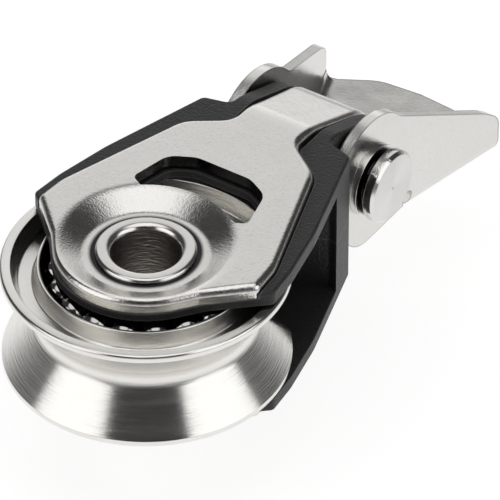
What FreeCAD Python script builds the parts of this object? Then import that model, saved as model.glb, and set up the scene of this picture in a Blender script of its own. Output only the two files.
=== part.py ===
import FreeCAD, Part
import math
import os

os.makedirs("parts", exist_ok=True)
V = FreeCAD.Vector

# Driving sizes, in mm
# Frame: origin on the sheave axis at the sheave's mid-plane, X along the head pin,
# Y from the sheave to the head, Z along the sheave axis.

# Ball bearing: two full rows, which set the size of the sheave
ball_r = 1.5875
ball_pitch_r = 9.2
ball_row_z = 4.0
ball_gap = 0.02
balls_per_row = int(math.pi * ball_pitch_r / (ball_r + ball_gap / 2))
race_play = 0.10
race_r = ball_r + race_play
race_open = 0.9
inner_waist_r = ball_pitch_r - race_open
inner_race_half = 5.0

# Sheave: turned V-groove wheel with a ring-shaped relief in each side
sheave_wall = 5.8
sheave_r = ball_pitch_r + sheave_wall
sheave_half = 5.97
rim_band = 0.85
rim_land = 1.13
sheave_core_r = ball_pitch_r + race_open
throat_apex_r = sheave_core_r + 0.9
throat_fillet = 1.8
race_lip_r = sheave_core_r + 1.1
relief_in_r = race_lip_r + 0.4
relief_out_r = sheave_r - rim_land - 0.57
relief_z = 4.1

# Hollow axle rivet
axle_inset = 4.6
axle_wall = 1.05
axle_r = ball_pitch_r - axle_inset
axle_bore_r = axle_r - axle_wall
lip_r = axle_r + 0.72
lip_top = 7.9

# Strap: one bent strip, both cheek plates dished around the rivet
strap_t = 1.6
strap_z = 8.8
head_r = 6.2
neck_x = 4.0
head_x = 4.25
shoulder_inset = 1.2
strap_round = 0.8
dish_floor = 7.4
dish_in_r = ball_pitch_r - 2.7
dish_out_r = ball_pitch_r
strap_front_r = dish_out_r + 0.4

# Moulded cheeks
cheek_z = 7.95
cheek_under = 6.3
seat_gap = 0.12
rim_inset = 0.25
cheek_x = sheave_r - rim_inset
cheek_front_r = strap_front_r + 0.1
front_turn_deg = 52.0
strap_leg = 2.6
cheek_leg = 3.4
corner_x = 9.2
line_gap = 4.2
web_clear = 2.0
cheek_round = 0.35
web_y = sheave_r + line_gap
web_depth = 5.0
corner_y = web_y + web_depth
arm_x = 6.1
arm_r = 6.0
pocket_side = 0.3
hub_r = ball_pitch_r - 1.9
hub_foot_r = ball_pitch_r - 1.05
hub_rise_r = ball_pitch_r - 0.3
well_r = ball_pitch_r + 1.0

# Head pin
pin_behind = 6.4
ramp_run = 6.0
pin_y = corner_y + pin_behind
strap_bend_y = pin_y - ramp_run
pin_r = 2.5
pin_head_r = 4.05
pin_head = 2.84
pin_groove_at = 1.06
pin_groove_w = 0.56
pin_groove_d = 1.1
pin_tail = 1.5
clip_t = 0.6
clip_gap = 0.1
bush_fit = 0.05
ear_fit = 0.03

# Swinging bracket, pressed from one sheet
sheet = 1.2
ear_x = 7.65
ear_r = 7.4
pocket_r = ear_r + 0.65
ear_low = 8.1
fold_y = 6.4
fold_top = 4.2
flare_deg = 17.0
tip_y = 19.35
floor_pitch_deg = 6.5
floor_low = 9.15
floor_from_y = 8.2
floor_bend = 2.2
floor_rear_y = 22.1


# One unit of the plan outlines, which widen with the sheave
unit = sheave_r / 15.0


def flat_xy(z):
    return lambda u, v: V(u, v, z)


def flat_yz(x):
    return lambda u, v: V(x, u, v)


def flat_xz(y):
    return lambda u, v: V(u, y, v)


def outline(corners, place):
    """Closed wire through corners (u, v, fillet radius)."""
    edges = []
    stops = []
    count = len(corners)
    for i in range(count):
        u, v, r = corners[i]
        p = V(u, v, 0)
        before = V(corners[i - 1][0], corners[i - 1][1], 0) - p
        after = V(corners[(i + 1) % count][0], corners[(i + 1) % count][1], 0) - p
        before.normalize()
        after.normalize()
        if r <= 0:
            stops.append((p, None, p))
            continue
        half = before.getAngle(after) / 2
        run = r / math.tan(half)
        mid = before + after
        mid.normalize()
        stops.append((p + before * run, p + mid * (r / math.sin(half) - r), p + after * run))
    for i in range(count):
        start, mid, end = stops[i]
        nxt = stops[(i + 1) % count][0]
        a = place(start.x, start.y)
        b = place(end.x, end.y)
        if mid is not None:
            edges.append(Part.Arc(a, place(mid.x, mid.y), b).toShape())
        if (nxt - end).Length > 1e-6:
            edges.append(Part.LineSegment(b, place(nxt.x, nxt.y)).toShape())
    return Part.Wire(edges)


def slab(corners, low, high):
    return Part.Face(outline(corners, flat_xy(low))).extrude(V(0, 0, high - low))


def side_slab(corners, x_low, x_high):
    return Part.Face(outline(corners, flat_yz(x_low))).extrude(V(x_high - x_low, 0, 0))


def turned(corners):
    return Part.Face(outline(corners, flat_xz(0))).revolve(V(0, 0, 0), V(0, 0, 1), 360)


def mirrored(points):
    """Both halves of an outline given for x > 0, front to back."""
    left = [(-x, y, r) for x, y, r in reversed(points) if x > 1e-6]
    return list(points) + left


def x_cylinder(r, x_low, x_high):
    return Part.makeCylinder(r, x_high - x_low, V(x_low, pin_y, 0), V(1, 0, 0))


def lower(shape):
    """The same shape turned over about the Y axis, for the underside."""
    return shape.rotated(V(0, 0, 0), V(0, 1, 0), 180)


def save(name, shape):
    shape.exportStep("parts/" + name + ".step")


# Strap

def front_arc(r, leg, bend):
    """Corners of a plate's front: an arc about the axle and a straight leg up to a bend."""
    turn = math.radians(front_turn_deg)
    return [
        (r * math.tan(turn / 2), -r, r * 0.99),
        (r * math.sin(turn) + leg * math.cos(turn), -r * math.cos(turn) + leg * math.sin(turn), bend)]


def strap_plan(grow):
    """Outline of the cheek plates in plan: front arc, shoulders, taper, neck and head."""
    g = grow
    return mirrored(front_arc(strap_front_r + g, strap_leg, 3.0) + [
        (cheek_x - shoulder_inset + g, 0.3 * unit - g * 0.4, 1.0),
        (13.25 * unit + g, 3.9 * unit, 6.0 * unit),
        (8.25 * unit + g, corner_y - 5.25, 3.6),
        (neck_x + g, corner_y - 2.3, 2.3),
        (neck_x + g, pin_y - 3.6, 6.0),
        (head_x + g, pin_y + 3.4, 0),
        (head_x + g, pin_y + head_r + 2, 0)])


ramp = math.atan2(strap_z, pin_y - strap_bend_y)
ramp -= math.asin(head_r / math.hypot(strap_z, pin_y - strap_bend_y))


def ramp_y(level, r):
    """Where the ramp tangent to a head circle of radius r meets the plane at this height."""
    return pin_y + (r - level * math.cos(ramp)) / math.sin(ramp)


def strap_side(r, level, start_y, bend):
    """Half of the strap's side line, upper side: flat plate, ramp and the point on the head circle."""
    meet = ramp_y(level, r)
    foot = V(pin_y + r * math.sin(ramp), r * math.cos(ramp), 0)
    run = bend * math.tan(ramp / 2)
    first = V(meet - run, level, 0)
    mid = V(meet - run + bend * math.sin(ramp / 2), level - bend * (1 - math.cos(ramp / 2)), 0)
    last = V(meet + run * math.cos(ramp), level - run * math.sin(ramp), 0)
    return V(start_y, level, 0), first, mid, last, foot


def strap_loop(r, level, start_y, bend, x_low, x_high):
    """Solid inside one side line of the strap, closed at start_y."""
    s, a, m, b, f = strap_side(r, level, start_y, bend)
    up = flat_yz(x_low)
    edges = [
        Part.LineSegment(up(s.x, s.y), up(a.x, a.y)).toShape(),
        Part.Arc(up(a.x, a.y), up(m.x, m.y), up(b.x, b.y)).toShape(),
        Part.LineSegment(up(b.x, b.y), up(f.x, f.y)).toShape(),
        Part.Arc(up(f.x, f.y), up(pin_y + r, 0), up(f.x, -f.y)).toShape(),
        Part.LineSegment(up(f.x, -f.y), up(b.x, -b.y)).toShape(),
        Part.Arc(up(b.x, -b.y), up(m.x, -m.y), up(a.x, -a.y)).toShape(),
        Part.LineSegment(up(a.x, -a.y), up(s.x, -s.y)).toShape(),
        Part.LineSegment(up(s.x, -s.y), up(s.x, s.y)).toShape()]
    return Part.Face(Part.Wire(edges)).extrude(V(x_high - x_low, 0, 0))


def window(shrink, low, high):
    """Crescent cut-out between the sheave axis and the head, with its near side round the axis."""
    s = shrink
    block = slab(mirrored([
        (0, 6.4 * unit, 0),
        (4.5 * unit, 6.8 * unit + s, 0),
        (7.1 * unit - s, 8.05 * unit + s, 0.8),
        (6.0 * unit - s, 12.9 * unit - s * 0.5, 2.2),
        (3.3 * unit, 14.3 * unit - s, 2.6),
        (0, 14.3 * unit - s, 0)]), low, high)
    core = Part.makeCylinder(dish_out_r + 0.1 + s, high - low, V(0, 0, low))
    return block.cut(core)


def dish():
    """Dished round of the upper plate, about the sheave axis."""
    hole = axle_r
    rise = strap_z - dish_floor
    return turned([
        (hole, dish_floor - strap_t, 0),
        (dish_in_r + 0.75, dish_floor - strap_t, 1.2),
        (dish_out_r + 0.45, dish_floor - strap_t + rise, 1.0),
        (dish_out_r + 1.6, dish_floor - strap_t + rise, 0),
        (dish_out_r + 1.6, strap_z, 0),
        (dish_out_r, strap_z, 2.6),
        (dish_in_r, dish_floor, 1.2),
        (hole, dish_floor, 0)])


def cut_side(edge, level):
    """True for an edge between a bent strip's outer surface and its cut side."""
    box = edge.BoundBox
    p = edge.valueAt((edge.FirstParameter + edge.LastParameter) / 2)
    across = box.YLength < 0.01 and box.ZLength < 0.01 and abs(p.x) < 0.01 and p.y > 0
    upright = box.ZLength > level and p.y < pin_y
    return not across and not upright


def make_strap():
    far = sheave_r + 1
    outer = strap_loop(head_r, strap_z, -far, 7.0, -far, far)
    inner = strap_loop(head_r - strap_t, strap_z - strap_t, -far - 1, 7.0 - strap_t, -far - 1, far + 1)
    outer = outer.common(slab(strap_plan(0), -strap_z - 1, strap_z + 1))
    outer = outer.makeFillet(strap_round, [e for e in outer.Edges if cut_side(e, strap_z)])
    bar = outer.cut(inner)
    bar = bar.cut(Part.makeCylinder(dish_out_r + 1.5, 4, V(0, 0, strap_z - 3)))
    ring = dish().common(Part.makeCylinder(dish_out_r + 1.5, 6, V(0, 0, strap_z - 5)))
    bar = bar.fuse(ring.common(outer)).cut(window(0, strap_z - 3, strap_z + 1))
    half = bar.cut(Part.makeBox(8 * far, 8 * far, 2 * far, V(-4 * far, -4 * far, -2 * far)))
    return half.fuse(lower(half))


# Moulded cheeks

def cheek_plan():
    return mirrored(front_arc(cheek_front_r, cheek_leg, 4.0) + [
        (cheek_x, 1.3 * unit, 0.7),
        (14.35 * unit, 5.2 * unit, 8.0 * unit),
        (13.0 * unit, 11.6 * unit, 12.0 * unit),
        (corner_x, corner_y, 0.9),
        (arm_x, corner_y + 0.75, 1.1),
        (arm_x, pin_y - 3.1, 0),
        (arm_x, pin_y + arm_r + 1, 0)])


def web_plan():
    """Where the two cheeks meet: from the back of the sheave space to the head."""
    return mirrored([
        (0, sheave_r + web_clear, 0),
        (5.2, sheave_r + web_clear + 0.6, 9.0),
        (9.6, web_y + 0.5, 0.6),
        (11.2, web_y, 0),
        (sheave_r + 5, web_y, 0),
        (sheave_r + 5, pin_y + arm_r + 2, 0)])


def make_cheek():
    top = strap_z + 0.2
    outer = slab(cheek_plan(), -top, top).common(strap_loop(arm_r, cheek_z, -20, 5.0, -20, 20))
    outer = outer.makeFillet(cheek_round, [e for e in outer.Edges if cut_side(e, cheek_z)])
    plate = Part.makeBox(60, 60, top, V(-30, -20, cheek_under))
    body = outer.common(plate.fuse(slab(web_plan(), 0, top)))

    # seat of the strap: open at the front, 0.75 deep, and full height over the head between the arms
    seat = slab(strap_plan(seat_gap), strap_z - strap_t, top)
    seat = seat.cut(Part.makeBox(60, 30, 20, V(-30, strap_bend_y - 2, 0)))
    neck = Part.makeBox(2 * head_x + 2 * seat_gap, 20, 20, V(-head_x - seat_gap, strap_bend_y - 4, -10))
    neck = neck.cut(strap_loop(head_r - strap_t - 0.03, strap_z - strap_t, -20, 7.0 - strap_t, -20, 20))
    body = body.cut(seat).cut(neck)

    # hub: cone under the strap's dish, seated on the inner race, open over the balls
    floor = dish_floor - strap_t
    hub = turned([
        (axle_r + 0.3, inner_race_half, 0),
        (hub_r, inner_race_half, 0.3),
        (hub_foot_r, floor + 0.05, 0.5),
        (hub_rise_r, cheek_under, 0.5),
        (well_r, cheek_under, 0),
        (well_r, strap_z, 0),
        (axle_r + 0.3, strap_z, 0)])
    hub = hub.common(slab(cheek_plan(), 0, top))
    body = body.cut(Part.makeCylinder(well_r, top, V(0, 0, 0))).fuse(hub)
    press = turned([
        (0, floor, 0),
        (dish_in_r + 0.75, floor, 1.2),
        (dish_out_r + 0.45, strap_z - strap_t, 1.0),
        (dish_out_r + 3, strap_z - strap_t, 0),
        (dish_out_r + 3, top + 1, 0),
        (0, top + 1, 0)])
    reach = slab(strap_plan(seat_gap), 0, top + 2)
    body = body.cut(press.common(reach))
    body = body.cut(window(0.4, cheek_under - 2, top))

    # pockets for the bracket's ears, behind an outer skin
    for sign in (-1, 1):
        near, far = sorted((sign * arm_x, sign * (ear_x + pocket_side)))
        body = body.cut(x_cylinder(pocket_r, near, far))

    # pin bore through the arms and room for the head bush between them
    body = body.cut(x_cylinder(pin_r + 0.35, -20, 20))
    body = body.cut(x_cylinder(head_r - strap_t + 0.0, -head_x - seat_gap, head_x + seat_gap))
    body = body.common(Part.makeBox(60, 80, 20, V(-30, -20, 0)))
    return max(body.removeSplitter().Solids, key=lambda s: s.Volume)


# Sheave and bearing

def make_sheave():
    apex = throat_apex_r
    land = sheave_r - rim_land
    z = sheave_half
    dr = sheave_core_r - ball_pitch_r
    groove_low = ball_row_z - math.sqrt(race_r ** 2 - dr ** 2)
    lip_in = ball_pitch_r + race_r - 0.1
    half = [
        (sheave_core_r, 0, 0),
        (sheave_core_r, groove_low - 0.6, 0),
        (lip_in, groove_low - 0.6, 0),
        (lip_in, z, 0),
        (race_lip_r, z, 0),
        (relief_in_r, relief_z, 0.3),
        (relief_out_r, relief_z, 0.45),
        (land - 0.12, z - 0.5, 0),
        (land, z, 0),
        (sheave_r - 0.1, z, 0),
        (sheave_r, z - 0.1, 0),
        (sheave_r, z - rim_band, 0)]
    solid = turned(half + [(apex, 0, throat_fillet)] + [(r, -h, f) for r, h, f in reversed(half) if h > 0])
    for sign in (1, -1):
        fill = Part.makeCylinder(lip_in + 0.3, ball_row_z + 0.4, V(0, 0, 0), V(0, 0, sign))
        fill = fill.cut(Part.makeCylinder(sheave_core_r, 20, V(0, 0, -10)))
        solid = solid.fuse(fill)
        solid = solid.cut(Part.makeTorus(ball_pitch_r, race_r, V(0, 0, sign * ball_row_z), V(0, 0, 1)))
    mouth = Part.makeCylinder(lip_in, 4, V(0, 0, ball_row_z))
    solid = solid.cut(mouth).cut(lower(mouth))
    return solid.removeSplitter()


def make_inner_race():
    ring = turned([
        (axle_r, -inner_race_half, 0.15),
        (hub_r, -inner_race_half, 0.2),
        (hub_r, -inner_race_half + 0.5, 0),
        (inner_waist_r, -2.2, 0),
        (inner_waist_r, 2.2, 0),
        (hub_r, inner_race_half - 0.5, 0),
        (hub_r, inner_race_half, 0.2),
        (axle_r, inner_race_half, 0.15)])
    land = Part.makeCylinder(hub_r + 0.45, 2 * inner_race_half - 0.2, V(0, 0, -inner_race_half + 0.1))
    ring = ring.fuse(land.cut(Part.makeCylinder(axle_r + 1, 20, V(0, 0, -10))))
    for sign in (1, -1):
        ring = ring.cut(Part.makeTorus(ball_pitch_r, race_r, V(0, 0, sign * ball_row_z), V(0, 0, 1)))
    return ring.removeSplitter()


def make_axle():
    floor = dish_floor
    half = [
        (axle_bore_r, 0, 0),
        (axle_bore_r, lip_top - 0.25, 0.5),
        (axle_bore_r + 0.5, lip_top, 0.3),
        (lip_r - 0.15, lip_top, 0.3),
        (lip_r, floor + 0.2, 0),
        (lip_r - 0.1, floor, 0),
        (axle_r, floor, 0),
        (axle_r, 0, 0)]
    tube = turned([c for c in half])
    return tube.fuse(lower(tube)).removeSplitter()


# Head pin, its bush and clip

def make_pin():
    x0 = ear_x
    tail = -ear_x - pin_tail
    shank = x_cylinder(pin_r, tail, x0)
    head = x_cylinder(pin_head_r, x0, x0 + pin_head)
    body = shank.fuse(head)
    body = body.makeChamfer(0.35, [e for e in body.Edges if abs(e.CenterOfMass.x - x0 - pin_head) < 1e-5])
    body = body.makeChamfer(0.3, [e for e in body.Edges if abs(e.CenterOfMass.x - tail) < 1e-5])
    a = x0 + pin_groove_at
    groove_core = x_cylinder(pin_head_r - pin_groove_d, a - 1, a + 2)
    ring = x_cylinder(pin_head_r + 1, a, a + pin_groove_w).cut(groove_core)
    b = -ear_x - clip_gap - clip_t
    slot = x_cylinder(pin_r + 1, b, b + clip_t).cut(x_cylinder(pin_r - 0.5, b - 1, b + 2))
    dot = Part.makeCone(0.0, 0.28, 0.18, V(x0 + pin_head - 0.18, pin_y, 0), V(1, 0, 0))
    return body.cut(ring).cut(slot).cut(dot)


def make_clip():
    b = -ear_x - clip_gap - clip_t
    ring = x_cylinder(pin_r + 1.3, b, b + clip_t).cut(x_cylinder(pin_r - 0.5, b - 1, b + 2))
    return ring.cut(Part.makeBox(clip_t + 2, 2.6, 8, V(b - 1, pin_y - 1.3, -8.5)))


def make_bush():
    tube = x_cylinder(head_r - strap_t - 0.03, -head_x, head_x)
    return tube.cut(x_cylinder(pin_r + bush_fit, -20, 20))


# Bracket

def floor_height(y):
    """Underside of the floor, y measured from the pin."""
    return -floor_low + (y - floor_from_y) * math.tan(math.radians(floor_pitch_deg))


def make_bracket():
    s = sheet
    flare = math.radians(flare_deg)

    def half(y, inset):
        """Half-width of the channel at y behind the pin, inside by inset."""
        if y <= fold_y:
            return ear_x - inset
        return ear_x + (y - fold_y) * math.tan(flare) - inset / math.cos(flare)

    def channel(inset, low, high):
        near = fold_y - inset * math.tan(flare / 2)
        pts = mirrored([
            (0, pin_y - 12, 0),
            (ear_x - inset, pin_y - 12, 0),
            (ear_x - inset, pin_y + near, 1.2 + (1.2 - inset)),
            (half(30, inset), pin_y + 30, 0),
            (0, pin_y + 30, 0)])
        return slab(pts, low, high)

    # channel skin: outer prism less inner prism, then everything outside the side view cut away
    skin = channel(0, -12, 9).cut(channel(s, -13, 10))
    slope = (fold_top + 1.25) / (17.4 - fold_y)
    disc = x_cylinder(ear_r, -30, 30)
    tail = side_slab([
        (pin_y, ear_r, 0),
        (pin_y, -ear_low, 0),
        (pin_y + fold_y + 0.1, -ear_low, 0),
        (pin_y + fold_y + 0.1, 0, 0),
        (pin_y + fold_y + 0.1, fold_top, 0),
        (pin_y + 2.0, ear_r - 0.55, 2.5)], -30, 30)
    low_left = side_slab([
        (pin_y - ear_r * 0.7071, -ear_r * 0.7071, 0),
        (pin_y - ear_r * 1.4142 + ear_low, -ear_low, 5.0),
        (pin_y + 1, -ear_low, 0),
        (pin_y + 1, -3, 0)], -30, 30)
    wing = side_slab([
        (pin_y + fold_y, fold_top, 0),
        (pin_y + fold_y, -6.0, 0),
        (pin_y + 7.6, -6.6, 0),
        (pin_y + 7.6, -11.0, 0),
        (pin_y + 30, -11.0, 0),
        (pin_y + 30, -3.0, 0),
        (pin_y + tip_y, -3.0, 0),
        (pin_y + tip_y, -2.6, 2.0),
        (pin_y + 17.4, fold_top - slope * (17.4 - fold_y), 2.6)], -30, 30)
    end = Part.makeBox(60, 60, 60, V(-30, pin_y + tip_y, -30))
    walls = skin.common(disc.fuse(tail).fuse(low_left).fuse(wing)).cut(end)

    # floor: slab pitched up to the rear, between the walls, with a bend along each of them
    y0, y1 = 7.7, 26.0
    z0, z1 = floor_height(y0), floor_height(y1)
    plate = side_slab([
        (pin_y + y0, z0, 0),
        (pin_y + y1, z1, 0),
        (pin_y + y1, z1 + s, 0),
        (pin_y + y0, z0 + s, 0)], -30, 30)
    rear = slab(mirrored([
        (0, pin_y + y0, 0),
        (half(y0, 0.0), pin_y + y0, 0),
        (half(tip_y, 0.0), pin_y + tip_y, 0.0),
        (half(tip_y, 0.0) - 2.4, pin_y + tip_y + 0.35, 1.8),
        (5.0, pin_y + 21.75, 6.0),
        (0, pin_y + floor_rear_y, 0)]), -14, 0)
    below = side_slab([
        (pin_y - 20, floor_height(-20), 0),
        (pin_y + 40, floor_height(40), 0),
        (pin_y + 40, -30, 0),
        (pin_y - 20, -30, 0)], -30, 30)
    ear_band = Part.makeBox(60, 20 + fold_y + 1.3, 60, V(-30, pin_y - 20, -30))
    keep = walls.cut(below.cut(ear_band))
    body = keep.fuse(plate.common(rear)).removeSplitter()

    # rounded bend between floor and wings, cut out of the sharp corner and filled on the inside
    pitch = math.radians(floor_pitch_deg)
    for sign in (1, -1):
        y_a, y_b = 7.0, tip_y + 4
        set_in = floor_bend / math.cos(flare)
        rise = floor_bend / math.cos(pitch)
        p = V(sign * (half(y_a, 0) - set_in), pin_y + y_a, floor_height(y_a) + rise)
        q = V(sign * (half(y_b, 0) - set_in), pin_y + y_b, floor_height(y_b) + rise)
        axis = q - p
        rod = Part.makeCylinder(floor_bend, axis.Length, p, axis)
        core = Part.makeCylinder(floor_bend - s, axis.Length, p, axis)
        # wedge outside the bend's axis, downward and outward
        n = 14.0
        wedge = Part.Face(Part.makePolygon([
            p, p + V(sign * n, 0, 0), p + V(sign * n, 0, -n), p + V(0, 0, -n), p])).extrude(axis)
        body = body.cut(wedge.cut(rod))
        reach = Part.makeBox(60, tip_y - y_a - 0.7, 60, V(-30, pin_y + y_a + 0.7, -30))
        body = body.fuse(wedge.common(rod).cut(core).common(reach))
    bore = x_cylinder(pin_r + ear_fit, -30, 30)
    body = body.cut(bore)
    return max(body.removeSplitter().Solids, key=lambda k: k.Volume)


save("strap", make_strap())
upper = make_cheek()
save("cheek_upper", upper)
save("cheek_lower", lower(upper))
save("sheave", make_sheave())
save("inner_race", make_inner_race())
save("axle_tube", make_axle())
save("head_bush", make_bush())
save("head_pin", make_pin())
save("pin_clip", make_clip())
save("bracket", make_bracket())

for i in range(balls_per_row):
    angle = 2 * math.pi * (i + 0.5) / balls_per_row
    x = ball_pitch_r * math.cos(angle)
    y = ball_pitch_r * math.sin(angle)
    number = "%02d" % (i + 1)
    save("ball_upper_" + number, Part.makeSphere(ball_r, V(x, y, ball_row_z)))
    save("ball_lower_" + number, Part.makeSphere(ball_r, V(x, y, -ball_row_z)))
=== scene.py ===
import math

import bmesh
import bpy
from mathutils import Matrix, Vector


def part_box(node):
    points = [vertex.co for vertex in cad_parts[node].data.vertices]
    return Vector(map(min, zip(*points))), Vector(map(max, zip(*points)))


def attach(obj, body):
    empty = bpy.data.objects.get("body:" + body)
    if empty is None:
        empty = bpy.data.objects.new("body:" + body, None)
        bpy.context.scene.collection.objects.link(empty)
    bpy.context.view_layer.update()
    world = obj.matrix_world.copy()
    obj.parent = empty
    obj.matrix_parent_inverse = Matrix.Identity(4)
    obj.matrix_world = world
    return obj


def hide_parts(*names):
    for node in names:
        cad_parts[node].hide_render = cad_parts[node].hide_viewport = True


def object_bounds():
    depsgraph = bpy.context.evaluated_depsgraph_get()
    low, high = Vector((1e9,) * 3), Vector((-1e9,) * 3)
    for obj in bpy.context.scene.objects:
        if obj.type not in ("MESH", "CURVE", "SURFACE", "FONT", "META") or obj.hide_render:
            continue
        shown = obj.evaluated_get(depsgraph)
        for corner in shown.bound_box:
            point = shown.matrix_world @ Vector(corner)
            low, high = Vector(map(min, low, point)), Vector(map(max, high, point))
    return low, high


bl_info = {
    "name": "Line block with hinged bracket",
    "version": (1, 0, 0),
    "blender": (4, 5, 0),
    "location": "View3D > Sidebar > Block",
    "description": "Turned sheave, pressed strap, moulded cheeks and folded bracket of a line block",
    "category": "Object",
}

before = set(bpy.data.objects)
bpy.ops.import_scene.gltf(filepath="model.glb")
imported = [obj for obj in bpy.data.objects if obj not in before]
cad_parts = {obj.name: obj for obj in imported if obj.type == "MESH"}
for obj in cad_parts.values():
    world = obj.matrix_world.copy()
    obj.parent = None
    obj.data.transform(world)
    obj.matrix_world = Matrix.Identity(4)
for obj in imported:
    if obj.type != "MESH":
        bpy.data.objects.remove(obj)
loaded_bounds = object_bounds()

MM = 0.001
SHEAVE_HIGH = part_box("sheave")[1]
PIN_LOW, PIN_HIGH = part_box("head_pin")
CLIP_LOW, CLIP_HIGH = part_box("pin_clip")
AXLE_BORE = 3.55 * MM

# Window in each plate of the strap: where it starts and ends beyond the axle, how far it reaches
# to each side, and the width over which the shade of its walls fades out
WINDOW_START = 7.0 * MM
WINDOW_END = 15.2 * MM
WINDOW_SIDE = 7.6 * MM
WINDOW_FADE = 0.2 * MM

# Width of the line of painted light along a solid's corners: a painted highlight on the mouldings and
# painted shade on the bracket
PAINTED_EDGE_LINE = 0.16 * MM

# The two directions away from an axis
ACROSS_X = (0, 1, 1)
ACROSS_Z = (1, 1, 0)

# Colour sockets of a mix node
MIX_UNDER = 6
MIX_OVER = 7
MIX_RESULT = 2


# Settings

def length(name, description, default):
    """Length that a user can set, in metres."""
    return bpy.props.FloatProperty(name=name, description=description, default=default, unit="LENGTH")


def share(name, description, default):
    """Number from 0 to 1 that a user can set."""
    return bpy.props.FloatProperty(
        name=name, description=description, default=default, min=0, max=1, subtype="FACTOR")


def angle(name, description, default):
    """Angle that a user can set, in radians."""
    return bpy.props.FloatProperty(name=name, description=description, default=default, subtype="ANGLE")


def colour(name, description, default):
    """Colour that a user can set."""
    return bpy.props.FloatVectorProperty(
        name=name, description=description, default=default, size=3, subtype="COLOR")


def steps_round(what, default):
    """Number of steps round a turned piece."""
    return bpy.props.IntProperty(
        name="Steps", description="Steps round a full turn of " + what, default=default, min=24, max=400)


class SheaveSizes(bpy.types.PropertyGroup):
    """Turned sheave, in metres."""
    radius: length("Radius", "Outer radius of the two rims", SHEAVE_HIGH.x)
    half_width: length("Half width", "Mid-plane to the face of a rim", SHEAVE_HIGH.z)
    rim_band: length("Rim band", "Height of the straight band round each rim", 0.74 * MM)
    rim_round: length("Rim rounding", "Radius of the rounding round each rim", 0.33 * MM)
    land: length("Land", "Width of the flat land beside each rim", 1.13 * MM)
    relief_outer: length("Relief outer radius", "Outer radius of the ring-shaped relief", 13.3 * MM)
    relief_inner: length("Relief inner radius", "Inner radius of the ring-shaped relief", 11.6 * MM)
    relief_floor: length("Relief floor", "Height of the relief's floor over the mid-plane", 4.1 * MM)
    race_lip: length("Race lip", "Outer radius of the thin lip round the ball race", 11.2 * MM)
    throat: length("Throat", "Radius at which the groove's two cones would meet", 11.0 * MM)
    throat_round: length("Throat rounding", "Radius of the rounding in the groove's throat", 1.8 * MM)
    steps: steps_round("the sheave", 224)


class BearingSizes(bpy.types.PropertyGroup):
    """Balls and their races, in metres."""
    pitch: length("Pitch radius", "Radius of the circle of ball centres", 9.2 * MM)
    row_height: length("Row height", "Mid-plane to each row of balls", 4.0 * MM)
    race_radius: length("Race radius", "Radius of the race's section", 1.6875 * MM)
    core: length("Core radius", "Bore of the sheave between the races", 10.1 * MM)
    ball_segments: bpy.props.IntProperty(
        name="Ball segments", description="Segments round each ball", default=28, min=8, max=64)


class PinSizes(bpy.types.PropertyGroup):
    """Head pin, in metres."""
    shank: length("Shank radius", "Radius of the head pin's shank", 2.5 * MM)
    head: length("Head radius", "Radius of the head pin's round head", 4.05 * MM)
    head_height: length("Head height", "How far the head stands out of the ear", 2.84 * MM)
    groove_at: length("Groove place", "Ear to the near side of the head's groove", 0.74 * MM)
    groove_width: length("Groove width", "Width of the head's groove", 0.85 * MM)
    groove_depth: length("Groove depth", "Depth of the head's groove", 1.1 * MM)
    chamfer: length("Chamfer", "Width of the chamfer round the head's face", 0.35 * MM)
    centre_mark: length("Centre mark", "Radius and depth of the lathe's mark in the face", 0.2 * MM)
    clip_groove: length("Clip groove", "Depth of the groove that holds the clip", 0.5 * MM)
    tail_chamfer: length("Tail chamfer", "Width of the chamfer round the far end", 0.3 * MM)
    steps: steps_round("the pin", 128)


class AxleSizes(bpy.types.PropertyGroup):
    """Hollow axle, rolled outward at both ends, in metres."""
    lip: length("Lip radius", "Outer radius of the rolled lip", 5.27 * MM)
    lip_depth: length("Lip depth", "Height of the lip's upright edge", 0.6 * MM)
    lip_round: length("Lip rounding", "Rounding of the lip's outer edge", 0.42 * MM)
    bore_round: length("Bore rounding", "Rounding from the bore to the lip", 0.75 * MM)
    tube: length("Tube radius", "Outer radius of the tube", 4.55 * MM)
    # Painted shade: width of the dark ring painted round the lip
    crevice: length("Crevice", "Width of the dark crevice round the lip", 0.75 * MM)
    steps: steps_round("the axle", 120)


class Finishes(bpy.types.PropertyGroup):
    """Colours and gloss of the finishes."""
    steel: colour("Polished steel", "Colour of the strap, bracket and axle", (0.80, 0.785, 0.755))
    steel_roughness: share("Polish", "Roughness of the polished steel", 0.17)
    turned: colour("Turned metal", "Colour of the turned sheave", (0.88, 0.865, 0.83))
    turned_roughness: share("Turning", "Roughness of the turned metal", 0.19)
    # Painted shade: the bore is painted darker than the steel, as shade falls inside it
    bore: colour("Bore", "Colour of the axle's bore", (0.36, 0.34, 0.32))
    bore_roughness: share("Boring", "Roughness of the axle's bore", 0.32)
    moulding: colour("Moulding", "Colour of the black mouldings", (0.010, 0.010, 0.0105))
    moulding_roughness: share("Grain gloss", "Roughness of the mouldings", 0.42)
    # Painted highlight: the paler colour along the moulding's corners stands for the highlight that a
    # rounded corner catches
    moulding_corner_highlight: colour("Worn moulding", "Colour along the moulding's corners", (0.075, 0.075, 0.075))
    # Painted shade: the darker colour along the bracket's sheared corners stands for the dark reflection on
    # a rounded edge
    sheet_edge_shade: colour("Sheet edge", "Colour along the bracket's sheared corners", (0.42, 0.41, 0.395))
    # Painted shade: colour of the dark ring painted on the strap round the axle's lip
    crevice: colour("Crevice", "Colour of the crevice round the axle's lip", (0.03, 0.03, 0.03))
    # Painted shade: this dark colour is painted into the sheave's races, the pin's groove and the strap
    # window's walls, where shade falls
    race: colour("Race", "Colour of the races, the pin's groove and the window's walls", (0.05, 0.05, 0.05))
    # Painted shade: the balls' steel is a darker copy of the bright steel, as they sit in shade in the gap
    ball: colour("Balls", "Colour of the balls", (0.55, 0.545, 0.53))
    bright: colour("Bright metal", "Colour of the pin and its clip", (0.80, 0.79, 0.77))


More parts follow.
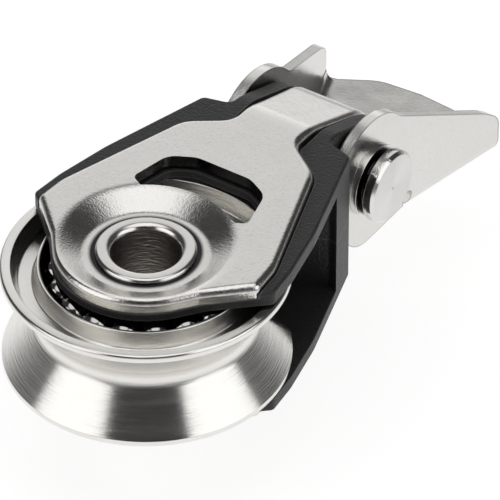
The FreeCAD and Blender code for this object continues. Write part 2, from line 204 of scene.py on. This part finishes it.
class StageSizes(bpy.types.PropertyGroup):
    """Camera and studio."""
    azimuth: angle("Azimuth", "Camera's turn from -Y towards +X", math.radians(33.48))
    elevation: angle("Elevation", "Camera's height over the floor's plane", math.radians(39.15))
    distance: length("Distance", "Camera to the plane through the block's origin", 0.66643)
    aim_right: length("Aim to the right", "How far the camera stands right of the origin", 0.01059)
    aim_up: length("Aim up", "How far the camera stands above the origin", 0.00593)
    lens: bpy.props.FloatProperty(
        name="Lens", description="Focal length on a 36 mm sensor, in millimetres", default=468.0, min=10)
    swing_room: length("Swing room", "Room under the block, which lets the bracket swing", 10.5 * MM)
    floor_half: length("Floor", "Half the side of the square floor", 3.0)
    floor_tone: share("Floor tone", "White that the floor shows by itself", 0.79)


# Mesh helpers

def finish_mesh(name, bm, material, body, sharp=math.radians(32)):
    """New object from a bmesh, shaded smooth with its sharp edges kept, riding on a body."""
    bmesh.ops.recalc_face_normals(bm, faces=bm.faces)
    mesh = bpy.data.meshes.new(name)
    bm.to_mesh(mesh)
    bm.free()
    mesh.shade_smooth()
    mesh.set_sharp_from_angle(angle=sharp)
    mesh.materials.append(material)
    piece = bpy.data.objects.new(name, mesh)
    bpy.context.scene.collection.objects.link(piece)
    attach(piece, body)
    return piece


def ring_profile(bm, corners):
    """Closed loop of edges in the XZ plane through the corners (radius, height, rounding)."""
    verts = [bm.verts.new((r, 0, z)) for r, z, _ in corners]
    count = len(verts)
    for i in range(count):
        bm.edges.new((verts[i], verts[(i + 1) % count]))
    places = [v.co.copy() for v in verts]
    for i, (_, _, rounding) in enumerate(corners):
        if rounding <= 0:
            continue
        before = (places[i - 1] - places[i]).normalized()
        after = (places[(i + 1) % count] - places[i]).normalized()
        reach = rounding / math.tan(before.angle(after) / 2)
        bmesh.ops.bevel(
            bm, geom=[verts[i]], offset=reach, offset_type="OFFSET", segments=6,
            profile=0.5, affect="VERTICES", material=-1)


def spin_ring(corners, steps):
    """Bmesh of a ring turned about Z from its section."""
    bm = bmesh.new()
    ring_profile(bm, corners)
    bmesh.ops.spin(
        bm, geom=bm.verts[:] + bm.edges[:], cent=(0, 0, 0), axis=(0, 0, 1), angle=math.tau,
        steps=steps, use_merge=True, use_duplicate=False)
    bmesh.ops.remove_doubles(bm, verts=bm.verts, dist=1e-7)
    return bm


def mirrored(upper_half):
    """Corners below the mid-plane that match those above it, in the order that closes the section."""
    return [(r, -z, rounding) for r, z, rounding in reversed(upper_half)]


def arc_corners(centre_r, centre_z, radius, start, end, count):
    """Corners on an arc of the section, angles from the outward direction."""
    corners = []
    for i in range(count + 1):
        turn = start + (end - start) * i / count
        corners.append((centre_r + radius * math.cos(turn), centre_z + radius * math.sin(turn), 0))
    return corners


def smooth_node(name, material, sharp=math.radians(28)):
    """CAD node in a finish, with its triangles joined and its curves shaded smooth."""
    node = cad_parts[name]
    node.data.materials.clear()
    node.data.materials.append(material)
    node.data.shade_smooth()
    weld = node.modifiers.new("weld", "WELD")
    weld.merge_threshold = 1e-6
    split = node.modifiers.new("sharp edges", "EDGE_SPLIT")
    split.split_angle = sharp
    split.use_edge_sharp = False
    weighted = node.modifiers.new("flat faces", "WEIGHTED_NORMAL")
    weighted.weight = 90


# Shader helpers

def new_material(name):
    """New material and its tree, or None for its tree where it was made before."""
    material = bpy.data.materials.get(name)
    if material:
        return material, None
    material = bpy.data.materials.new(name)
    material.use_nodes = True
    return material, material.node_tree


def node_of(tree, kind, **values):
    """New node with its inputs and settings given by name."""
    made = tree.nodes.new(kind)
    for key, value in values.items():
        if key in made.inputs:
            made.inputs[key].default_value = value
        else:
            setattr(made, key, value)
    return made


def maths(tree, operation, *values):
    """Result of a calculation on values, each of them a socket or a plain number."""
    made = node_of(tree, "ShaderNodeMath", operation=operation)
    for socket, value in zip(made.inputs, values):
        if isinstance(value, (int, float)):
            socket.default_value = value
        else:
            tree.links.new(value, socket)
    return made.outputs["Value"]


def parts_of(tree, vector):
    """X, Y and Z of a vector, as sockets by name."""
    split = tree.nodes.new("ShaderNodeSeparateXYZ")
    tree.links.new(vector, split.inputs["Vector"])
    return split.outputs


def axis_radius(tree, coords, across, centre=(0, 0, 0)):
    """Distance from an axis, for which across is 1 in the two directions away from it."""
    moved = node_of(tree, "ShaderNodeVectorMath", operation="SUBTRACT")
    moved.inputs[1].default_value = centre
    tree.links.new(coords.outputs["Object"], moved.inputs[0])
    flat = node_of(tree, "ShaderNodeVectorMath", operation="MULTIPLY")
    flat.inputs[1].default_value = across
    tree.links.new(moved.outputs["Vector"], flat.inputs[0])
    radius = node_of(tree, "ShaderNodeVectorMath", operation="LENGTH")
    tree.links.new(flat.outputs["Vector"], radius.inputs[0])
    return radius.outputs["Value"]


def step_between(tree, source, start, end):
    """Value that goes from 0 where the source is at start to 1 where it is at end."""
    made = tree.nodes.new("ShaderNodeMapRange")
    made.inputs["From Min"].default_value = start
    made.inputs["From Max"].default_value = end
    tree.links.new(source, made.inputs["Value"])
    return made.outputs["Result"]


def ramp_between(tree, source, low, high):
    """Value that goes from low to high as the source goes from 0 to 1."""
    made = tree.nodes.new("ShaderNodeMapRange")
    made.inputs["To Min"].default_value = low
    made.inputs["To Max"].default_value = high
    tree.links.new(source, made.inputs["Value"])
    return made.outputs["Result"]


def noise(tree, coords, scale, detail, roughness):
    """Noise on object coordinates, its scale in patches per metre."""
    made = node_of(tree, "ShaderNodeTexNoise", Scale=scale, Detail=detail, Roughness=roughness)
    tree.links.new(coords.outputs["Object"], made.inputs["Vector"])
    return made.outputs["Fac"]


def turning_marks(tree, coords, across, along, pitch, streaks):
    """Noise drawn out in rings about the lathe's axis, at a pitch per metre and streaks per radian."""
    split = parts_of(tree, coords.outputs["Object"])
    first, second = (split[axis] for axis in across)
    squares = maths(tree, "MULTIPLY_ADD", second, second, maths(tree, "MULTIPLY", first, first))
    turn = maths(tree, "ARCTAN2", first, second)
    place = tree.nodes.new("ShaderNodeCombineXYZ")
    tree.links.new(maths(tree, "POWER", squares, 0.5), place.inputs["X"])
    tree.links.new(split[along], place.inputs["Y"])
    tree.links.new(maths(tree, "MULTIPLY", turn, streaks / pitch), place.inputs["Z"])
    marks = node_of(tree, "ShaderNodeTexNoise", Scale=pitch, Detail=2.0, Roughness=0.55)
    tree.links.new(place.outputs["Vector"], marks.inputs["Vector"])
    return marks.outputs["Fac"]


def along_edges(tree, reach, open_face=0.98, corner=0.70):
    """Value that is 1 on a solid's corners and falls to 0 within reach of them."""
    inward = node_of(tree, "ShaderNodeAmbientOcclusion", Distance=reach)
    inward.inside = True
    inward.only_local = True
    inward.samples = 8
    return step_between(tree, inward.outputs["AO"], open_face, corner)


def bump(tree, height, strength, distance, below=None):
    """Bump from a height, laid over another one where below is given."""
    made = node_of(tree, "ShaderNodeBump", Strength=strength, Distance=distance)
    tree.links.new(height, made.inputs["Height"])
    if below:
        tree.links.new(below.outputs["Normal"], made.inputs["Normal"])
    return made


def tint(tree, shader, source, dark, light):
    """Base colour that goes from dark to light with a value."""
    made = tree.nodes.new("ShaderNodeValToRGB")
    made.color_ramp.elements[0].color = (*dark, 1)
    made.color_ramp.elements[1].color = (*light, 1)
    tree.links.new(source, made.inputs["Fac"])
    tree.links.new(made.outputs["Color"], shader.inputs["Base Color"])


def paint_over(tree, shader, where, paint):
    """Covers the base colour with another one where a value is 1."""
    base = shader.inputs["Base Color"].links[0].from_socket
    shade = node_of(tree, "ShaderNodeMix", data_type="RGBA")
    tree.links.new(where, shade.inputs["Factor"])
    tree.links.new(base, shade.inputs[MIX_UNDER])
    shade.inputs[MIX_OVER].default_value = (*paint, 1)
    tree.links.new(shade.outputs[MIX_RESULT], shader.inputs["Base Color"])


def uneven_gloss(tree, shader, source, roughness, smoother, rougher):
    """Roughness that a value moves between a little smoother and a little rougher."""
    rough = ramp_between(tree, source, roughness - smoother, roughness + rougher)
    tree.links.new(rough, shader.inputs["Roughness"])


def drawn_gloss(tree, shader, amount, axis):
    """Highlight drawn out across the lathe's rings about an axis."""
    shader.inputs["Anisotropic"].default_value = amount
    shader.inputs["Anisotropic Rotation"].default_value = 0.25
    tangent = node_of(tree, "ShaderNodeTangent", direction_type="RADIAL", axis=axis)
    tree.links.new(tangent.outputs["Tangent"], shader.inputs["Tangent"])


# Finishes of the pieces

def metal(name, shine):
    """New metallic material, its tree, shader and coordinates, all but the first None on a repeat."""
    material, tree = new_material(name)
    if tree is None:
        return material, None, None, None
    shader = tree.nodes["Principled BSDF"]
    shader.inputs["Metallic"].default_value = 1.0
    coords = tree.nodes.new("ShaderNodeTexCoord")
    cloud = noise(tree, coords, scale=260.0, detail=4.0, roughness=0.55)
    dulled = 0.94
    tint(tree, shader, cloud, tuple(c * dulled for c in shine), tuple(shine))
    return material, tree, shader, coords


def pressed_steel(name, roughness, speckle, waves):
    """Tumble-polished pressed steel: soft gloss with a fine pitted speckle and faint waves."""
    finish = bpy.context.scene.block_finishes
    material, tree, shader, coords = metal(name, finish.steel)
    if tree is None:
        return material
    wear = noise(tree, coords, scale=1400.0, detail=3.0, roughness=0.6)
    uneven_gloss(tree, shader, wear, roughness, smoother=0.06, rougher=0.08)
    pits = noise(tree, coords, scale=4600.0, detail=2.0, roughness=0.6)
    pit_edge, pit_middle = 0.56, 0.72
    pit_shade = 0.88
    spots = step_between(tree, pits, pit_edge, pit_middle)
    paint_over(tree, shader, spots, tuple(c * pit_shade for c in finish.steel))
    fine = bump(tree, pits, strength=speckle, distance=0.04 * MM)
    swell = noise(tree, coords, scale=150.0, detail=2.0, roughness=0.45)
    broad = bump(tree, swell, strength=waves, distance=1.0 * MM, below=fine)
    tree.links.new(broad.outputs["Normal"], shader.inputs["Normal"])
    return material


def shade_window(steel):
    """Darkens the sheared walls of the strap's curved window, which face the black cheek."""
    tree = steel.node_tree
    coords = tree.nodes.new("ShaderNodeTexCoord")
    place = parts_of(tree, coords.outputs["Object"])
    flatness = maths(tree, "ABSOLUTE", parts_of(tree, coords.outputs["Normal"])["Z"])
    aside = maths(tree, "ABSOLUTE", place["X"])
    slope, wall = 0.55, 0.35
    where = step_between(tree, flatness, slope, wall)
    bounds = (
        step_between(tree, place["Y"], WINDOW_START, WINDOW_START + WINDOW_FADE),
        step_between(tree, aside, WINDOW_SIDE, WINDOW_SIDE - WINDOW_FADE / 2),
        step_between(tree, place["Y"], WINDOW_END, WINDOW_END - WINDOW_FADE))
    for within in bounds:
        where = maths(tree, "MULTIPLY", where, within)
    # Painted shade on the window's walls, in the race colour
    paint_over(tree, tree.nodes["Principled BSDF"], where, bpy.context.scene.block_finishes.race)


def shade_crevice(steel):
    """Paints shade on the strap close round the axle's lip."""
    tree = steel.node_tree
    coords = tree.nodes.new("ShaderNodeTexCoord")
    axle = bpy.context.scene.block_axle
    lip_shade = step_between(
        tree, axis_radius(tree, coords, ACROSS_Z), axle.lip + axle.crevice, axle.lip + axle.crevice / 2)
    paint_over(tree, tree.nodes["Principled BSDF"], lip_shade, bpy.context.scene.block_finishes.crevice)


def turned_metal():
    """Lathe-turned sheave: gloss drawn out across fine rings, and painted shade in the races."""
    finish = bpy.context.scene.block_finishes
    material, tree, shader, coords = metal("turned_sheave_metal", finish.turned)
    if tree is None:
        return material
    drawn_gloss(tree, shader, amount=0.85, axis="Z")
    bands = turning_marks(tree, coords, ("X", "Y"), "Z", pitch=1500.0, streaks=1.0)
    uneven_gloss(tree, shader, bands, finish.turned_roughness, smoother=0.07, rougher=0.07)
    # Painted shade: inside the race lip's mouth the sheave is painted dark, as shade falls deep in the bore
    fade = 0.15 * MM
    mouth = bpy.context.scene.block_sheave.race_lip - fade
    inside = step_between(tree, axis_radius(tree, coords, ACROSS_Z), mouth, mouth - fade)
    paint_over(tree, shader, inside, finish.race)
    rings = turning_marks(tree, coords, ("X", "Y"), "Z", pitch=8000.0, streaks=5.0)
    marks = bump(tree, rings, strength=0.5, distance=0.03 * MM)
    tree.links.new(marks.outputs["Normal"], shader.inputs["Normal"])
    return material


def axle_steel():
    """Rolled hollow axle: polished lips, and a bore painted darker as shade, with the boring tool's rings.
    """
    finish = bpy.context.scene.block_finishes
    material, tree, shader, coords = metal("rolled_axle_steel", finish.steel)
    if tree is None:
        return material
    bore = step_between(
        tree, axis_radius(tree, coords, ACROSS_Z), AXLE_BORE + 0.12 * MM, AXLE_BORE + 0.02 * MM)
    # Painted shade inside the bore
    paint_over(tree, shader, bore, finish.bore)
    smoother = 0.04
    rougher = 0.08
    wear = noise(tree, coords, scale=1400.0, detail=3.0, roughness=0.6)
    lip = ramp_between(tree, wear, finish.steel_roughness - smoother, finish.steel_roughness + rougher)
    rough = node_of(tree, "ShaderNodeMix", data_type="FLOAT")
    tree.links.new(bore, rough.inputs["Factor"])
    tree.links.new(lip, rough.inputs["A"])
    rough.inputs["B"].default_value = finish.bore_roughness
    tree.links.new(rough.outputs["Result"], shader.inputs["Roughness"])
    lip_marks = 0.15
    bore_marks = 0.9
    rings = turning_marks(tree, coords, ("X", "Y"), "Z", pitch=3600.0, streaks=3.0)
    marks = bump(tree, rings, strength=lip_marks, distance=0.1 * MM)
    tree.links.new(ramp_between(tree, bore, lip_marks, bore_marks), marks.inputs["Strength"])
    tree.links.new(marks.outputs["Normal"], shader.inputs["Normal"])
    return material


def pin_steel():
    """Turned head pin: rings round its side, a matt face and painted shade in its groove."""
    finish = bpy.context.scene.block_finishes
    pin = bpy.context.scene.block_pin
    material, tree, shader, coords = metal("ground_pin_steel", finish.bright)
    if tree is None:
        return material
    drawn_gloss(tree, shader, amount=0.6, axis="X")
    along = parts_of(tree, coords.outputs["Object"])["X"]
    side_roughness = 0.13
    face_roughness = 0.36
    face = step_between(tree, along, PIN_HIGH.x - 0.06 * MM, PIN_HIGH.x - 0.01 * MM)
    rough = ramp_between(tree, face, side_roughness, face_roughness)
    tree.links.new(rough, shader.inputs["Roughness"])
    middle = (PIN_LOW + PIN_HIGH) / 2
    groove_shade_depth = step_between(
        tree, axis_radius(tree, coords, ACROSS_X, middle), pin.head - 0.15 * MM, pin.head - 0.45 * MM)
    groove_middle = PIN_HIGH.x - pin.head_height + pin.groove_at + pin.groove_width / 2
    groove = maths(tree, "COMPARE", along, groove_middle, pin.groove_width / 2 + 0.01 * MM)
    # Painted shade: the groove's floor and walls are painted dark, as shade falls in the deep groove
    paint_over(tree, shader, maths(tree, "MULTIPLY", groove_shade_depth, groove), finish.race)
    rings = turning_marks(tree, coords, ("Y", "Z"), "X", pitch=4200.0, streaks=4.0)
    marks = bump(tree, rings, strength=0.6, distance=0.03 * MM)
    tree.links.new(marks.outputs["Normal"], shader.inputs["Normal"])
    return material


def bright_metal(name, shine, roughness):
    """Bright steel of the balls and the clip, with faint scuffs."""
    material, tree, shader, coords = metal(name, shine)
    if tree is None:
        return material
    scuff = noise(tree, coords, scale=1200.0, detail=3.0, roughness=0.6)
    uneven_gloss(tree, shader, scuff, roughness, smoother=0.03, rougher=0.05)
    return material


def black_moulding(name, grain):
    """Glass-filled nylon: near black with a fine grain, a few pale specks and a painted highlight along its
    corners.
    """
    finish = bpy.context.scene.block_finishes
    material, tree = new_material(name)
    if tree is None:
        return material
    shader = tree.nodes["Principled BSDF"]
    coords = tree.nodes.new("ShaderNodeTexCoord")
    speck = noise(tree, coords, scale=3800.0, detail=3.0, roughness=0.65)
    paler = 2.4
    tint(tree, shader, speck, tuple(finish.moulding), tuple(c * paler for c in finish.moulding))
    uneven_gloss(tree, shader, speck, finish.moulding_roughness, smoother=0.08, rougher=0.16)
    # Painted highlight along the corners
    paint_over(tree, shader, along_edges(tree, PAINTED_EDGE_LINE), finish.moulding_corner_highlight)
    pores = noise(tree, coords, scale=3300.0, detail=2.0, roughness=0.6)
    fine = bump(tree, pores, strength=grain, distance=0.2 * MM)
    tree.links.new(fine.outputs["Normal"], shader.inputs["Normal"])
    return material


# Pieces

class BLOCK_OT_sheave(bpy.types.Operator):
    """Turns the sheave's section about its axis"""
    bl_idname = "block.sheave"
    bl_label = "Turned sheave"

    def execute(self, context):
        size = context.scene.block_sheave
        bearing = context.scene.block_bearing
        top = size.half_width
        land_in = size.radius - size.land
        race_mouth = bearing.pitch + bearing.race_radius - 0.1 * MM
        race_start = -math.acos((bearing.core - bearing.pitch) / bearing.race_radius)
        race_end = math.radians(19.8)
        half_core = 0.2 * MM
        mouth_edge = 0.12 * MM
        lip_edge = 0.10 * MM
        relief_inner_round = 0.3 * MM
        relief_outer_round = 0.45 * MM
        land_slope = 0.12 * MM
        land_wall = 0.5 * MM
        land_foot_round = 0.3 * MM
        land_edge = 0.08 * MM
        band_edge = 0.10 * MM
        race = arc_corners(
            bearing.pitch, bearing.row_height, bearing.race_radius, race_start, race_end, count=14)
        upper = [(bearing.core, half_core, 0)] + race + [
            (race_mouth, top, mouth_edge),
            (size.race_lip, top, lip_edge),
            (size.relief_inner, size.relief_floor, relief_inner_round),
            (size.relief_outer, size.relief_floor, relief_outer_round),
            (land_in - land_slope, top - land_wall, land_foot_round),
            (land_in, top, land_edge),
            (size.radius, top, size.rim_round),
            (size.radius, top - size.rim_band, band_edge)]
        section = upper + [(size.throat, 0, size.throat_round)] + mirrored(upper)
        bm = spin_ring(section, size.steps)
        piece = finish_mesh("turned_sheave", bm, turned_metal(), "sheave")
        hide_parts("sheave")
        return {"FINISHED"}


class BLOCK_OT_balls(bpy.types.Operator):
    """Makes the two rows of bearing balls and finishes the inner race"""
    bl_idname = "block.balls"
    bl_label = "Bearing balls"

    def execute(self, context):
        bearing = context.scene.block_bearing
        # Painted shade: the balls take the darker ball colour, standing for the shade in the gap round them
        steel = bright_metal("shaded_ball_steel", context.scene.block_finishes.ball, roughness=0.06)
        for row in ("upper", "lower"):
            names = sorted(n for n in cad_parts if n.startswith("ball_" + row))
            bm = bmesh.new()
            for name in names:
                low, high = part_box(name)
                bmesh.ops.create_uvsphere(
                    bm, u_segments=bearing.ball_segments, v_segments=bearing.ball_segments // 2,
                    radius=(high.x - low.x) / 2, matrix=Matrix.Translation((low + high) / 2))
            piece = finish_mesh("ball_row_" + row, bm, steel, "balls_" + row, sharp=math.pi)
            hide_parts(*names)
        smooth_node("inner_race", black_moulding("smooth_race_moulding", grain=0.05))
        return {"FINISHED"}


class BLOCK_OT_axle(bpy.types.Operator):
    """Turns the hollow axle with its rolled lips"""
    bl_idname = "block.axle"
    bl_label = "Hollow axle"

    def execute(self, context):
        size = context.scene.block_axle
        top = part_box("axle_tube")[1].z
        upper = [
            (AXLE_BORE, top, size.bore_round),
            (size.lip, top, size.lip_round),
            (size.lip, top - size.lip_depth, 0),
            (size.tube, top - size.lip_depth - size.lip + size.tube, 0)]
        bm = spin_ring(upper + mirrored(upper), size.steps)
        piece = finish_mesh("rolled_axle", bm, axle_steel(), "block")
        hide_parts("axle_tube")
        return {"FINISHED"}


class BLOCK_OT_strap(bpy.types.Operator):
    """Finishes the pressed strap that wraps round the head"""
    bl_idname = "block.strap"
    bl_label = "Pressed strap"

    def execute(self, context):
        polish = context.scene.block_finishes.steel_roughness
        steel = pressed_steel("tumbled_strap_steel", polish, speckle=0.6, waves=0.05)
        shade_window(steel)
        shade_crevice(steel)
        smooth_node("strap", steel)
        return {"FINISHED"}


class BLOCK_OT_cheeks(bpy.types.Operator):
    """Finishes the two moulded cheeks and the bush between them"""
    bl_idname = "block.cheeks"
    bl_label = "Moulded cheeks"

    def execute(self, context):
        moulding = black_moulding("black_grained_moulding", grain=0.55)
        for name in ("cheek_upper", "cheek_lower", "head_bush"):
            smooth_node(name, moulding)
        return {"FINISHED"}


class BLOCK_OT_pin(bpy.types.Operator):
    """Turns the grooved head pin and finishes its clip"""
    bl_idname = "block.pin"
    bl_label = "Head pin"

    def execute(self, context):
        size = context.scene.block_pin
        face = PIN_HIGH.x
        ear = face - size.head_height
        tail = PIN_LOW.x
        groove = ear + size.groove_at
        groove_end = groove + size.groove_width
        groove_floor = size.head - size.groove_depth
        clip_floor = size.shank - size.clip_groove
        soft = 0.12 * MM
        broken = 0.08 * MM
        crisp = 0.06 * MM
        section = [
            (0, face - size.centre_mark, 0),
            (size.centre_mark, face, 0),
            (size.head - size.chamfer, face, soft),
            (size.head, face - size.chamfer, soft),
            (size.head, groove_end, crisp),
            (groove_floor, groove_end, broken),
            (groove_floor, groove, broken),
            (size.head, groove, crisp),
            (size.head, ear, crisp),
            (size.shank, ear, 0),
            (size.shank, CLIP_HIGH.x, 0),
            (clip_floor, CLIP_HIGH.x, 0),
            (clip_floor, CLIP_LOW.x, 0),
            (size.shank, CLIP_LOW.x, 0),
            (size.shank, tail + size.tail_chamfer, broken),
            (size.shank - size.tail_chamfer, tail, broken),
            (0, tail, 0)]
        bm = spin_ring(section, size.steps)
        middle = Vector((0, (PIN_LOW.y + PIN_HIGH.y) / 2, 0))
        place = Matrix.Translation(middle) @ Matrix.Rotation(math.pi / 2, 4, "Y")
        bmesh.ops.transform(bm, matrix=place, verts=bm.verts)
        piece = finish_mesh("turned_pin", bm, pin_steel(), "bracket")
        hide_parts("head_pin")
        spring = bright_metal("clip_spring_steel", context.scene.block_finishes.bright, roughness=0.18)
        smooth_node("pin_clip", spring)
        return {"FINISHED"}


class BLOCK_OT_bracket(bpy.types.Operator):
    """Finishes the folded sheet bracket"""
    bl_idname = "block.bracket"
    bl_label = "Folded bracket"

    def execute(self, context):
        finish = context.scene.block_finishes
        duller = 0.06
        steel = pressed_steel(
            "pressed_bracket_steel", finish.steel_roughness + duller, speckle=0.35, waves=0.22)
        tree = steel.node_tree
        # Painted shade: a dark line along the sheared corners, standing for a dark reflection
        bracket_edge_shade = along_edges(tree, PAINTED_EDGE_LINE)
        paint_over(tree, tree.nodes["Principled BSDF"], bracket_edge_shade, finish.sheet_edge_shade)
        smooth_node("bracket", steel)
        return {"FINISHED"}


# Stage

# The floor's white: its matt share, the radius over which its light in reflections falls off, and
# that light's strength within and beyond
FLOOR_MATT = 0.40
FLOOR_LIT = (0.06, 0.22)
FLOOR_MIRRORED = (0.91, 0.12)

# The surround's brightness, and its panels in the order they are painted: name, turn from the camera
# and height in degrees, radius of the full panel and of its faded edge in degrees, and brightness
SURROUND = 0.22
PANELS = (
    ("dark left flank", -117, 36, 27, 37, 0.05),
    ("dark right flank", 117, 36, 27, 37, 0.05),
    ("wall behind the block", 180, 22, 19, 35, 0.81),
    ("bright foot of the wall", 180, 5, 10, 17, 1.10),
    ("dark camera side", 0, 36, 25, 31, 0.03),
    ("overhead softbox", 0, 86, 20, 34, 1.15),
    ("left softbox", -62, 27, 24, 29, 1.25),
    ("right softbox", 62, 27, 24, 29, 1.25),
)


def heading(azimuth, elevation):
    """Unit direction at an azimuth from -Y towards +X and a height over the horizon."""
    return Vector((
        math.sin(azimuth) * math.cos(elevation),
        -math.cos(azimuth) * math.cos(elevation),
        math.sin(elevation)))


def floor_material(tone):
    """White floor: matt for the shadow, with light of its own to the eye and in reflections."""
    material, tree = new_material("studio_floor_white")
    if tree is None:
        return material
    tree.nodes.remove(tree.nodes["Principled BSDF"])
    output = tree.nodes["Material Output"]
    matt = node_of(tree, "ShaderNodeBsdfDiffuse", Color=(FLOOR_MATT, FLOOR_MATT, FLOOR_MATT, 1))
    glow = node_of(tree, "ShaderNodeEmission", Color=(1, 1, 1, 1))
    path = tree.nodes.new("ShaderNodeLightPath")
    coords = tree.nodes.new("ShaderNodeTexCoord")
    far = step_between(tree, axis_radius(tree, coords, ACROSS_Z), *FLOOR_LIT)
    reflection = maths(
        tree, "MULTIPLY", path.outputs["Is Glossy Ray"], ramp_between(tree, far, *FLOOR_MIRRORED))
    seen = maths(tree, "MAXIMUM", path.outputs["Is Camera Ray"], reflection)
    tree.links.new(maths(tree, "MULTIPLY", seen, tone), glow.inputs["Strength"])
    both = tree.nodes.new("ShaderNodeAddShader")
    tree.links.new(matt.outputs["BSDF"], both.inputs[0])
    tree.links.new(glow.outputs["Emission"], both.inputs[1])
    tree.links.new(both.outputs["Shader"], output.inputs["Surface"])
    return material


def studio_world(scene):
    """Surround painted panel by panel, each at its turn from the camera, its height and its spread."""
    world = bpy.data.worlds.new("studio_surround")
    scene.world = world
    world.use_nodes = True
    tree = world.node_tree
    back = tree.nodes["Background"]
    back.inputs["Color"].default_value = (1, 1, 1, 1)
    coords = tree.nodes.new("ShaderNodeTexCoord")
    direction = node_of(tree, "ShaderNodeVectorMath", operation="NORMALIZE")
    tree.links.new(coords.outputs["Generated"], direction.inputs[0])
    level = node_of(tree, "ShaderNodeValue")
    level.outputs[0].default_value = SURROUND
    seen = level.outputs[0]
    for label, turn, height, inner, outer, light in PANELS:
        azimuth = scene.block_stage.azimuth + math.radians(turn)
        towards = node_of(tree, "ShaderNodeVectorMath", operation="DOT_PRODUCT")
        towards.label = label
        towards.inputs[1].default_value = heading(azimuth, math.radians(height))
        tree.links.new(direction.outputs["Vector"], towards.inputs[0])
        spread = node_of(tree, "ShaderNodeMapRange", interpolation_type="SMOOTHSTEP")
        spread.inputs["From Min"].default_value = math.cos(math.radians(outer))
        spread.inputs["From Max"].default_value = math.cos(math.radians(inner))
        tree.links.new(towards.outputs["Value"], spread.inputs["Value"])
        painted = node_of(tree, "ShaderNodeMix", data_type="FLOAT")
        tree.links.new(spread.outputs["Result"], painted.inputs["Factor"])
        tree.links.new(seen, painted.inputs["A"])
        painted.inputs["B"].default_value = light
        seen = painted.outputs["Result"]
    tree.links.new(seen, back.inputs["Strength"])


def photo_camera(scene):
    """Camera at the photo's angle, a little to the right of the block's origin and above it."""
    stage = scene.block_stage
    right = Vector((math.cos(stage.azimuth), math.sin(stage.azimuth), 0))
    back = heading(stage.azimuth, stage.elevation)
    up = back.cross(right)
    place = right * stage.aim_right + up * stage.aim_up + back * stage.distance
    camera_data = bpy.data.cameras.new("photo_camera")
    camera_data.sensor_width = 36.0
    camera_data.lens = stage.lens
    camera_data.clip_start = 0.01
    camera_data.clip_end = 20.0
    camera = bpy.data.objects.new("photo_camera", camera_data)
    camera.matrix_world = Matrix((
        (right.x, up.x, back.x, place.x),
        (right.y, up.y, back.y, place.y),
        (right.z, up.z, back.z, place.z),
        (0, 0, 0, 1)))
    scene.collection.objects.link(camera)
    scene.camera = camera


class BLOCK_OT_stage(bpy.types.Operator):
    """Sets up the floor, the surround and the camera"""
    bl_idname = "block.stage"
    bl_label = "Studio stage"

    def execute(self, context):
        scene = context.scene
        stage = scene.block_stage
        bm = bmesh.new()
        bmesh.ops.create_grid(bm, x_segments=2, y_segments=2, size=stage.floor_half)
        bmesh.ops.translate(bm, verts=bm.verts, vec=(0, 0, loaded_bounds[0][2] - stage.swing_room))
        mesh = bpy.data.meshes.new("studio_floor")
        bm.to_mesh(mesh)
        bm.free()
        mesh.materials.append(floor_material(stage.floor_tone))
        floor = bpy.data.objects.new("studio_floor", mesh)
        scene.collection.objects.link(floor)
        studio_world(scene)
        photo_camera(scene)
        scene.view_settings.view_transform = "Standard"
        return {"FINISHED"}


class BLOCK_PT_panel(bpy.types.Panel):
    """Lists the block's pieces and their settings in the sidebar"""
    bl_idname = "BLOCK_PT_panel"
    bl_label = "Line block"
    bl_space_type = "VIEW_3D"
    bl_region_type = "UI"
    bl_category = "Block"

    def draw(self, context):
        for operator in PIECES:
            self.layout.operator(operator.bl_idname)
        for name in GROUPS:
            group = getattr(context.scene, name)
            column = self.layout.column()
            for key in group.__annotations__:
                column.prop(group, key)


GROUPS = {
    "block_sheave": SheaveSizes,
    "block_bearing": BearingSizes,
    "block_pin": PinSizes,
    "block_axle": AxleSizes,
    "block_finishes": Finishes,
    "block_stage": StageSizes,
}
PIECES = (
    BLOCK_OT_sheave,
    BLOCK_OT_balls,
    BLOCK_OT_axle,
    BLOCK_OT_strap,
    BLOCK_OT_cheeks,
    BLOCK_OT_pin,
    BLOCK_OT_bracket,
    BLOCK_OT_stage,
)


def register():
    for name, group in GROUPS.items():
        bpy.utils.register_class(group)
        setattr(bpy.types.Scene, name, bpy.props.PointerProperty(type=group))
    for operator in PIECES:
        bpy.utils.register_class(operator)
    bpy.utils.register_class(BLOCK_PT_panel)


def unregister():
    bpy.utils.unregister_class(BLOCK_PT_panel)
    for operator in reversed(PIECES):
        bpy.utils.unregister_class(operator)
    for name, group in reversed(list(GROUPS.items())):
        delattr(bpy.types.Scene, name)
        bpy.utils.unregister_class(group)


def main():
    register()
    bpy.ops.block.sheave()
    bpy.ops.block.balls()
    bpy.ops.block.axle()
    bpy.ops.block.strap()
    bpy.ops.block.cheeks()
    bpy.ops.block.pin()
    bpy.ops.block.bracket()
    bpy.ops.block.stage()


if __name__ == "__main__":
    main()
